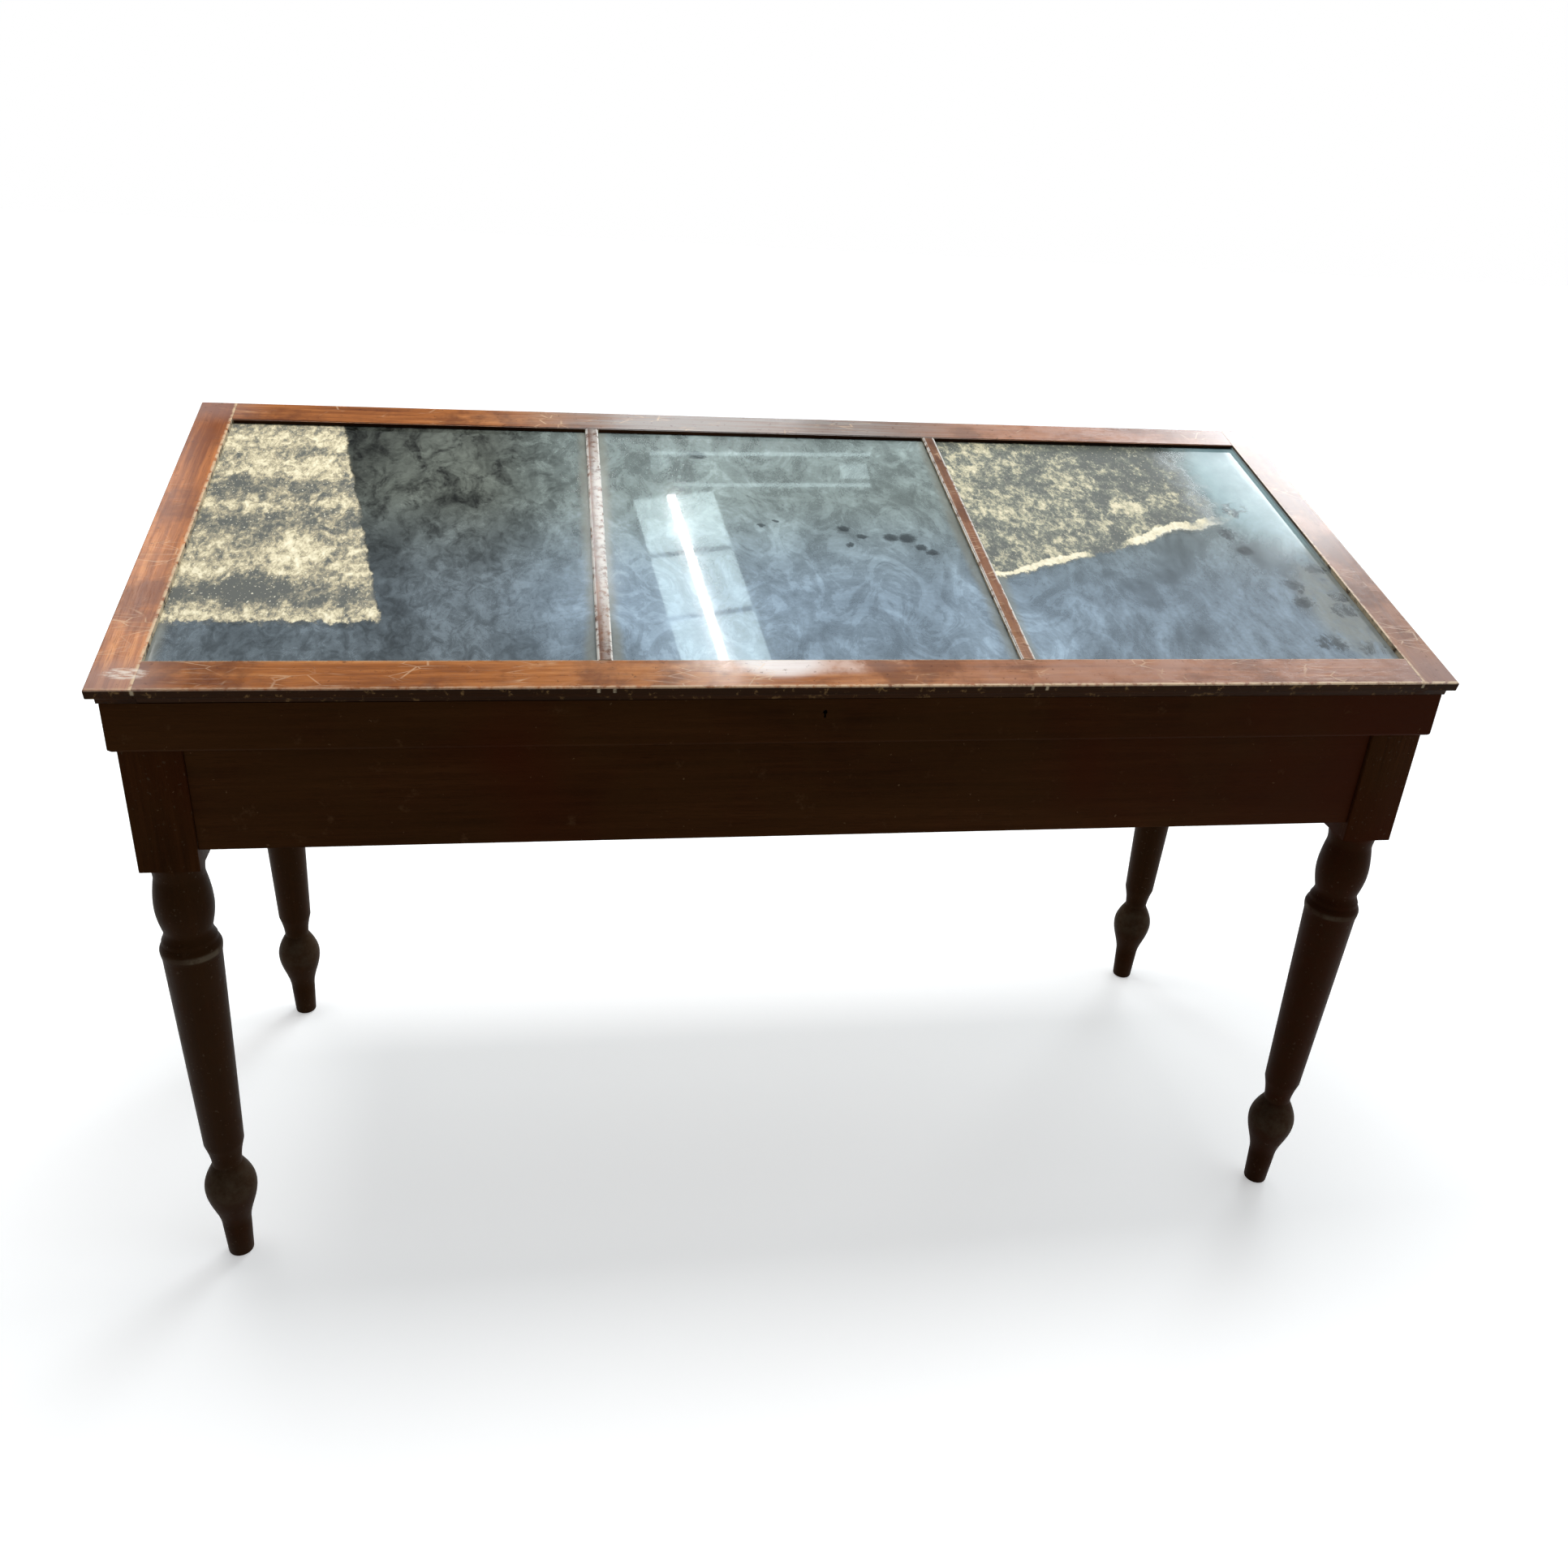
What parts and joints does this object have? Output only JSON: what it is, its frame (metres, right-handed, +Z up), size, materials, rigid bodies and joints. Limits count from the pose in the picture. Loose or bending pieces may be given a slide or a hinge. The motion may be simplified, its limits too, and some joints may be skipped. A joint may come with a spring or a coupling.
{
  "type": "museum display cabinet",
  "caption": "Sloping glazed table display case in mahogany, on turned legs joined by plain aprons, with a hinged lid in panes that lifts over a shallow lined well and locks at the front.",
  "frame": {"origin": "on the floor, under the middle of the cabinet's box", "axes": "+Z up, +X to the right seen from the front, +Y to the back, where the lid is hinged"},
  "size_m": [1.524, 0.6214, 0.974],
  "materials": {
    "lid_wood": "polished mahogany, worn and scratched along its edges",
    "case_wood": "dark mahogany, old waxed polish",
    "carcase_wood": "bare pine, never polished",
    "lining": "worn slate-blue cloth, glued down",
    "pane_glass": "old sheet glass, dusty and smeared, with flakes of cream film",
    "aged_brass": "aged brass",
    "lock_iron": "darkened iron"
  },
  "bodies": {
    "case": {"leg_front_left": "case_wood", "leg_front_right": "case_wood", "leg_back_left": "case_wood", "leg_back_right": "case_wood", "apron_front": "case_wood", "apron_back": "case_wood", "apron_left": "case_wood", "apron_right": "case_wood", "frieze_front": "case_wood", "frieze_back": "case_wood", "frieze_left": "case_wood", "frieze_right": "case_wood", "bed_bearer_1": "carcase_wood", "bed_bearer_2": "carcase_wood", "bed_bearer_3": "carcase_wood", "bed_bearer_4": "carcase_wood", "glue_block_front_1": "carcase_wood", "glue_block_front_2": "carcase_wood", "glue_block_front_3": "carcase_wood", "glue_block_back_1": "carcase_wood", "glue_block_back_2": "carcase_wood", "glue_block_back_3": "carcase_wood", "display_board": "carcase_wood", "bed_lining": "lining", "hinge_left_case_leaf": "aged_brass", "hinge_left_pin": "aged_brass", "hinge_middle_case_leaf": "aged_brass", "hinge_middle_pin": "aged_brass", "hinge_right_case_leaf": "aged_brass", "hinge_right_pin": "aged_brass", "lock_case": "lock_iron", "lock_face_plate": "aged_brass"},
    "lid": {"lid_stile_left": "lid_wood", "lid_stile_right": "lid_wood", "lid_rail_front": "lid_wood", "lid_rail_back": "lid_wood", "glazing_bar_left": "lid_wood", "glazing_bar_right": "lid_wood", "glass_left": "pane_glass", "glass_middle": "pane_glass", "glass_right": "pane_glass", "bead_left_front": "lid_wood", "bead_left_back": "lid_wood", "bead_left_left": "lid_wood", "bead_left_right": "lid_wood", "bead_middle_front": "lid_wood", "bead_middle_back": "lid_wood", "bead_middle_left": "lid_wood", "bead_middle_right": "lid_wood", "bead_right_front": "lid_wood", "bead_right_back": "lid_wood", "bead_right_left": "lid_wood", "bead_right_right": "lid_wood", "hinge_left_lid_leaf": "aged_brass", "hinge_middle_lid_leaf": "aged_brass", "hinge_right_lid_leaf": "aged_brass", "strike_plate": "aged_brass"},
    "bolt": {"lock_bolt": "lock_iron"}
  },
  "joints": [
    {"name": "lid_hinge", "type": "hinge", "parent": "case", "child": "lid", "pos_m": [0, 0.306, 0.95083], "axis": [-1, 0, 0], "range_deg": [0, 110]},
    {"name": "bolt_slide", "type": "slide", "parent": "case", "child": "bolt", "axis": [0, 0, 1], "range_m": [0, 0.008]}
  ]
}
